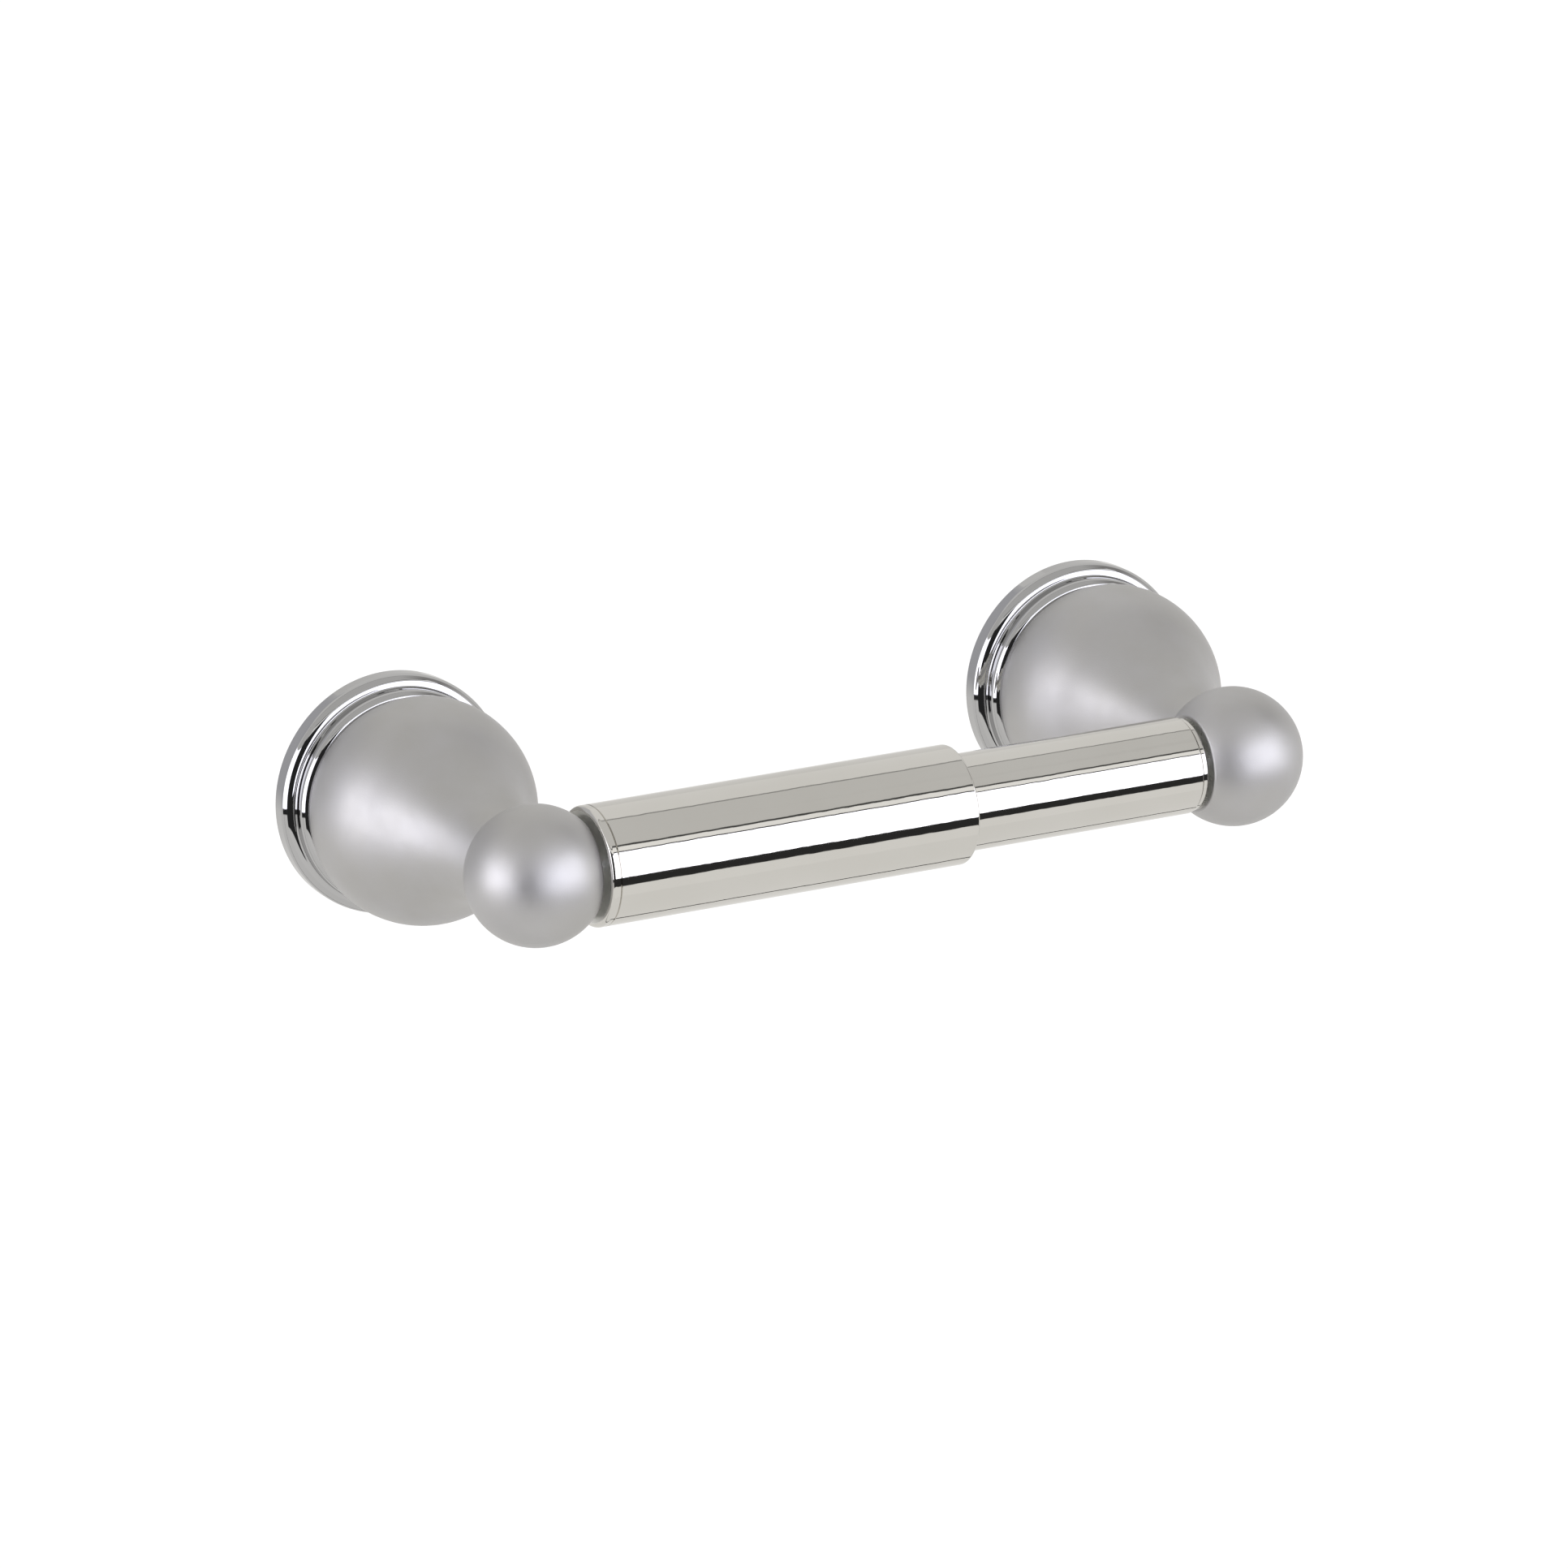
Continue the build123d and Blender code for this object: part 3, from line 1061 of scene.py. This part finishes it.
    def stud(self) -> None:
        """Stud with a thread at each end and a plain shank between them."""
        start, end = self.stud_span
        threads = (
            Thread(start, start + self.stud_thread, self.thread_pitch, self.thread_depth),
            Thread(end - self.stud_thread, end, self.thread_pitch, self.thread_depth),
        )
        bevels = (self.stud_bevel, self.stud_bevel)
        name = self.named("threaded_stud")
        made = MeshShop.screw(name, self.spindle, self.stud_radius, (start, end), bevels, threads)
        place(made, Body.POSTS, PLATED_STEEL, self.named("post_stud"))

    def nut(self) -> None:
        """Hexagon nut with bevelled corners."""
        start, end = self.span("post_nut")
        bevel = self.nut_bevel
        across = self.nut_flats
        name = self.named("hex_nut")
        made = MeshShop.hexagon(self.spindle, across, start - bevel, end + bevel, name)
        face, corner = across / 2 * self.nut_face, across / 2 * self.nut_reach
        corners = ((start, 0), (start, face), (start + bevel, corner))
        corners += ((end - bevel, corner), (end, face), (end, 0))
        outline = Outline([Corner(*corner) for corner in corners], closed=False)
        tool = MeshShop.turned("tool", outline, self.spindle, SMALL_TURNED_STEPS)
        MeshShop.cut(made, tool, keep_common=True)
        bore = MeshShop.rod(self.spindle, self.stud_radius, start - bevel, end + bevel)
        MeshShop.cut(made, bore)
        place(made, Body.POSTS, PLATED_STEEL, self.named("post_nut"))

    def lock_washer(self) -> None:
        """Spring washer, tightened flat, with a sloping split."""
        start, end = self.span("lock_washer")
        outer, inner = radius_of(self.named("lock_washer")), self.stud_clearance
        outline = Outline([
            Corner(start, outer, self.washer_edge),
            Corner(end, outer, self.washer_edge),
            Corner(end, inner),
            Corner(start, inner),
        ])
        name = self.named("split_washer")
        made = MeshShop.turned(name, outline, self.spindle, SMALL_TURNED_STEPS)
        middle = Vector((self.centre_x, -(start + end) / 2, (outer + inner) / 2))
        size = Vector((self.washer_split, (end - start) * self.saw_reach, outer))
        slope = Matrix.Rotation(math.radians(self.split_slope), 3, "Z")
        MeshShop.cut(made, MeshShop.slab(middle, size, slope))
        place(made, Body.POSTS, PLATED_STEEL, self.named("lock_washer"))

    def grub_screw(self) -> None:
        """Grub screw with a cone point and a hexagon socket."""
        end = self.grub_length
        thread = Thread(0.0, end - self.grub_point, self.grub_pitch, self.grub_depth)
        bevels = (self.grub_bevel, self.grub_point)
        name, spindle = self.named("grub_screw"), self.grub_spindle
        made = MeshShop.screw(name, spindle, self.grub_radius, (0.0, end), bevels, (thread,))
        tool = MeshShop.hexagon(spindle, self.grub_flats, -self.grub_bevel, self.grub_socket)
        MeshShop.cut(made, tool)
        place(made, Body.POSTS, PLATED_STEEL, self.named("set_screw"))

    def build(self) -> None:
        """Make and dress every piece of the post."""
        self.base_ring()
        self.dome()
        self.ball()
        self.stud()
        self.nut()
        self.lock_washer()
        self.grub_screw()
        dress_node(self.named("wall_bracket"), CAST_ZINC)


# ---- roller


@dataclass
class Roller:
    """Telescopic roller: two chrome tubes with end caps, a guide collar and a spring."""

    tube_edge: float = 0.0006
    lip_edge: float = 0.00025
    outer_bore: float = 0.0115
    lip_bore: float = 0.0106
    lip_length: float = 0.0046
    inner_bore: float = 0.0092
    seam: float = 0.00018
    thick_rim_edge: float = 0.001
    thin_rim_edge: float = 0.0006
    tube_end_edge: float = 0.0003
    hidden_edge: float = 0.0002
    dish: float = 0.0009
    cap_wall: float = 0.003
    spigot_length: float = 0.0066
    spigot_wall: float = 0.0024
    pin_radius: float = 0.003
    pin_bevel: float = 0.001
    pin_root: float = 0.0003
    cap_face: float = 0.0707
    inner_cap_radius: float = 0.010
    seam_depth: float = 0.0004
    wire_radius: float = 0.0007
    coil_turns: int = 9
    closed_turns: int = 1
    coil_steps: int = 64
    wire_steps: int = 14
    travel: float = 0.018

    def __post_init__(self) -> None:
        """Read the roller's place and main sizes from the frame."""
        self.outer_low, self.outer_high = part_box("outer_tube")
        self.inner_low, self.inner_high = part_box("inner_tube")
        self.outer_radius = radius_of("outer_tube")
        self.inner_radius = radius_of("inner_tube")
        self.axis_y = (self.outer_high.y + self.outer_low.y) / 2
        self.axis = Vector((0, self.axis_y, 0))
        self.spindle = Spindle(self.axis, Vector((1, 0, 0)))

    def outer_tube(self) -> None:
        """Thick chrome tube with a guide lip at its open end."""
        left, right = self.outer_low.x, self.outer_high.x
        outline = Outline([
            Corner(left, self.outer_radius - self.seam_depth),
            Corner(left + self.seam, self.outer_radius),
            Corner(right, self.outer_radius, self.tube_edge),
            Corner(right, self.lip_bore, self.lip_edge),
            Corner(right - self.lip_length, self.lip_bore),
            Corner(right - self.lip_length, self.outer_bore),
            Corner(left, self.outer_bore),
        ])
        tube = MeshShop.turned("thick_tube", outline, self.spindle)
        place(tube, Body.OUTER_ROLLER, BRIGHT_NICKEL, "outer_tube")

    def inner_tube(self) -> None:
        """Thin chrome tube that slides into the thick one."""
        left, right = self.inner_low.x, self.inner_high.x
        outline = Outline([
            Corner(left, self.inner_radius, self.hidden_edge),
            Corner(right, self.inner_radius, self.tube_end_edge),
            Corner(right, self.inner_bore),
            Corner(left, self.inner_bore),
        ])
        tube = MeshShop.turned("thin_tube", outline, self.spindle)
        place(tube, Body.INNER_ROLLER, BRIGHT_NICKEL, "inner_tube")

    def end_cap(
        self, name: str, side: Side, seam: float, radius: float, edge: float, bore: float,
        body: Body, node: str,
    ) -> None:
        """End cap with a rounded rim, a dished face, a pin and a hollow spigot.

        Args:
            name: the piece's name.
            side: the end of the roller that it closes.
            seam: distance from the middle to the seam with its tube.
            radius: radius of its visible land.
            edge: rounding of its rim.
            bore: bore of the tube that its spigot fills.
            body: the body that it rides on.
            node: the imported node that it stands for.
        """
        pin_end = max(abs(corner.x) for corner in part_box(node))
        floor = self.cap_face - self.dish - self.cap_wall
        root = seam - self.spigot_length
        hollow = bore - self.spigot_wall
        outline = Outline([
            Corner(floor, 0),
            Corner(floor, hollow),
            Corner(root, hollow),
            Corner(root, bore),
            Corner(seam, bore),
            Corner(seam, radius - self.seam_depth),
            Corner(seam + self.seam, radius),
            Corner(self.cap_face, radius, edge),
            Corner(self.cap_face - self.dish, self.pin_radius, self.pin_root),
            Corner(pin_end - self.pin_bevel, self.pin_radius),
            Corner(pin_end, self.pin_radius - self.pin_bevel),
            Corner(pin_end, 0),
        ], closed=False)
        spindle = Spindle(self.axis, Vector((side.value, 0, 0)))
        cap = MeshShop.turned(name, outline, spindle)
        place(cap, body, BRIGHT_NICKEL, node)
        # Painted light: the end face takes a lighter finish, so that the shaded gap next to the ball
        # reads lighter.
        face_off(cap, spindle, TURNED_FACE_PAINTED_LIGHT, seam + self.seam, radius - edge)

    def spring(self) -> None:
        """Compression spring with closed, ground end turns."""
        low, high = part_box("roller_spring")
        mean = radius_of("roller_spring") - self.wire_radius
        start, end = low.x + self.wire_radius / 2, high.x - self.wire_radius / 2
        closed_rise = 2 * self.wire_radius * self.closed_turns
        turns = [0.0, self.closed_turns, self.coil_turns - self.closed_turns, self.coil_turns]
        rises = [start, start + closed_rise, end - closed_rise, end]
        count = self.coil_turns * self.coil_steps
        rings = []
        for index in range(count + 1):
            turn = index / self.coil_steps
            leg = 0 if turn < turns[1] else 1 if turn < turns[2] else 2
            share = (turn - turns[leg]) / (turns[leg + 1] - turns[leg])
            x = rises[leg] + (rises[leg + 1] - rises[leg]) * share
            out = Vector((0, math.cos(math.tau * turn), math.sin(math.tau * turn)))
            centre = self.axis + Vector((x, 0, 0)) + out * mean
            ring = []
            for step in range(self.wire_steps):
                angle = math.tau * step / self.wire_steps
                point = centre + out * self.wire_radius * math.cos(angle)
                point.x += self.wire_radius * math.sin(angle)
                point.x = min(max(point.x, low.x), high.x)
                ring.append(point)
            rings.append(ring)
        coil = MeshShop.skin("coil_spring", rings)
        place(coil, Body.OUTER_ROLLER, SPRING_WIRE, "roller_spring")
        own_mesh(coil)

    def build(self) -> None:
        """Make and dress every piece of the roller."""
        self.outer_tube()
        self.inner_tube()
        self.end_cap(
            "thick_end_cap", Side.LEFT, -self.outer_low.x, self.outer_radius,
            self.thick_rim_edge, self.outer_bore, Body.OUTER_ROLLER, "outer_end_cap",
        )
        self.end_cap(
            "thin_end_cap", Side.RIGHT, self.inner_high.x, self.inner_cap_radius,
            self.thin_rim_edge, self.inner_bore, Body.INNER_ROLLER, "inner_end_cap",
        )
        dress_node("guide_collar", NATURAL_NYLON)
        self.spring()


# ---- studio


@dataclass(frozen=True)
class Band:
    """Stretch of the light tent, seen round the X axis from straight ahead, upwards."""

    start: float  # degrees: 0 is the front, 90 straight up, -90 straight down
    light: float


@dataclass(frozen=True)
class Panel:
    """Rectangle of the light tent, lit or dark."""

    azimuth: tuple[float, float]  # degrees: 0 is the front, positive to the right
    elevation: tuple[float, float]  # degrees above the horizon
    light: tuple[float, float, float]
    blur: float = 0.4  # degrees either side of the edges

    def mask(self, bench: NodeBench, azimuth: Socket, elevation: Socket) -> Socket:
        """Where the panel is seen.

        Args:
            bench: the world's node bench.
            azimuth: azimuth of the direction, in degrees.
            elevation: elevation of the direction, in degrees.

        Returns:
            1 inside the panel and 0 outside it, with soft edges.
        """
        inside = None
        for value, (low, high) in ((azimuth, self.azimuth), (elevation, self.elevation)):
            above = bench.mapped(value, 0.0, 1.0, low - self.blur, low + self.blur)
            below = bench.mapped(value, 1.0, 0.0, high - self.blur, high + self.blur)
            both = bench.math("MULTIPLY", above, below)
            inside = both if inside is None else bench.math("MULTIPLY", inside, both)
        return inside


@dataclass
class Studio:
    """Pale floor, soft light tent and camera."""

    floor_drop: float = 0.12
    floor_size: float = 12.0
    floor_shade: float = 0.2
    floor_roughness: float = 0.9
    floor_glow: float = 0.86
    azimuth: float = -27.111
    elevation: float = 16.814
    roll: float = -1.179
    distance: float = 2.2027
    target: Vector = field(default_factory=lambda: Vector((-0.00628, -0.03479, -0.001556)))
    lens: float = 240.4
    sensor: float = 36.0
    clip: tuple[float, float] = (0.05, 50.0)
    tent_samples: int = 1024
    tent_tint: tuple[float, float, float] = (1.0, 0.988, 0.965)
    bands: tuple[Band, ...] = (
        Band(-180.0, 0.86),
        Band(-111.6, 0.05),
        Band(-108.5, 0.86),
        Band(-50.0, 0.9),
        Band(35.0, 0.85),
        Band(47.0, 0.68),
        Band(104.0, 0.35),
        Band(105.5, 0.84),
        Band(150.0, 0.76),
    )
    panels: tuple[Panel, ...] = (
        Panel((-179.0, -118.0), (-12.0, 44.0), (0.56, 0.56, 0.58), 5.0),
        Panel((-62.0, 62.0), (-25.6, -11.4), (0.03, 0.03, 0.03)),
        Panel((-112.0, -62.0), (-18.0, -13.0), (0.03, 0.03, 0.03)),
        Panel((-62.0, -13.0), (-25.6, 33.0), (0.03, 0.03, 0.03)),
        Panel((62.0, 108.0), (26.0, 52.0), (0.36, 0.35, 0.34), 8.0),
        Panel((-50.0, 70.0), (31.0, 41.0), (1.05, 1.04, 1.02), 1.0),
        Panel((-50.0, 70.0), (30.6, 33.2), (0.05, 0.05, 0.05), 0.3),
        Panel((-50.0, 70.0), (40.2, 43.0), (0.07, 0.07, 0.07), 0.4),
        Panel((-112.0, -62.0), (-14.0, 28.0), (2.66, 2.64, 2.86)),
        Panel((-13.0, 62.0), (-11.4, 31.3), (2.50, 2.51, 2.78)),
    )

    def tent(self) -> None:
        """Light tent: soft panels round the object, with the gaps that a real tent has."""
        world = bpy.data.worlds.new("light_tent")
        world.use_nodes = True
        bpy.context.scene.world = world
        bench = NodeBench(world.node_tree)
        way = bench.add("TexCoord").outputs["Generated"]
        right, back, up = bench.add("SeparateXYZ", Vector=way).outputs
        ahead = bench.math("MULTIPLY", back, -1.0)
        share = bench.math("MULTIPLY_ADD", bench.math("ARCTAN2", up, ahead), 1 / math.tau, 0.5)
        ramp = bench.add("ValToRGB", Fac=share)
        stops = ramp.color_ramp
        stops.interpolation = "CONSTANT"
        for index, band in enumerate(self.bands):
            at = (band.start + 180.0) / 360.0
            stop = stops.elements[index] if index < NEW_RAMP_STOPS else stops.elements.new(at)
            stop.position = at
            stop.color = tuple(band.light * part for part in self.tent_tint) + (1.0,)
        azimuth = bench.math("DEGREES", bench.math("ARCTAN2", right, ahead))
        elevation = bench.math("DEGREES", bench.math("ARCSINE", up))
        light = ramp.outputs["Color"]
        for panel in self.panels:
            mask = panel.mask(bench, azimuth, elevation)
            light = bench.mix(mask, light, (*panel.light, 1.0))
        glow = bench.add("Background", Color=light)
        seen = bench.add("Background", Color=WHITE)
        rays = bench.add("LightPath")
        mix = bench.add("MixShader")
        bench.feed(mix, 0, rays.outputs["Is Camera Ray"])
        bench.feed(mix, 1, glow.outputs[0])
        bench.feed(mix, 2, seen.outputs[0])
        bench.add("OutputWorld", Surface=mix.outputs[0])
        world.cycles.sampling_method = "MANUAL"
        world.cycles.sample_map_resolution = self.tent_samples

    def floor(self) -> None:
        """Pale floor below the holder, lit so that it stays even."""
        low, _ = CAD_BOX
        half = self.floor_size / 2
        height = low.z - self.floor_drop
        corners = [(-half, -half), (half, -half), (half, half), (-half, half)]
        mesh = bpy.data.meshes.new("floor")
        mesh.from_pydata([(x, y, height) for x, y in corners], [], [(0, 1, 2, 3)])
        floor = MeshShop.piece("floor", mesh)
        material = bpy.data.materials.new("pale_floor")
        material.use_nodes = True
        bench = NodeBench(material.node_tree)
        shade = self.floor_shade
        shader = bench.add(
            "BsdfPrincipled",
            Base_Color=(shade, shade, shade, 1.0),
            Roughness=self.floor_roughness,
            Emission_Color=WHITE,
            Emission_Strength=self.floor_glow,
        )
        bench.add("OutputMaterial", Surface=shader.outputs[0])
        mesh.materials.append(material)
        floor.visible_glossy = False
        floor.visible_diffuse = False
        floor.visible_shadow = False

    def camera(self) -> None:
        """Long-lens camera, high on the left, slightly rolled."""
        azimuth, elevation = math.radians(self.azimuth), math.radians(self.elevation)
        back = Vector(
            (
                math.sin(azimuth) * math.cos(elevation),
                -math.cos(azimuth) * math.cos(elevation),
                math.sin(elevation),
            )
        )
        data = bpy.data.cameras.new("camera")
        data.lens = self.lens
        data.sensor_width = self.sensor
        data.clip_start, data.clip_end = self.clip
        data.dof.use_dof = False
        camera = bpy.data.objects.new("camera", data)
        bpy.context.scene.collection.objects.link(camera)
        turn = (-back).to_track_quat("-Z", "Y").to_matrix().to_4x4()
        roll = Matrix.Rotation(math.radians(self.roll), 4, "Z")
        camera.matrix_world = Matrix.Translation(self.target + back * self.distance) @ turn @ roll
        bpy.context.scene.camera = camera

    def build(self) -> None:
        """Set up camera, floor and light."""
        self.camera()
        self.floor()
        self.tent()
        view = bpy.context.scene.view_settings
        view.view_transform = "Standard"
        view.look = "None"


def main() -> None:
    """Build the holder around the frame."""
    logging.basicConfig(level=logging.INFO, format="%(name)s: %(message)s")
    Studio().build()
    for side in Side:
        Post(side).build()
    Roller().build()


if __name__ == "__main__":
    main()
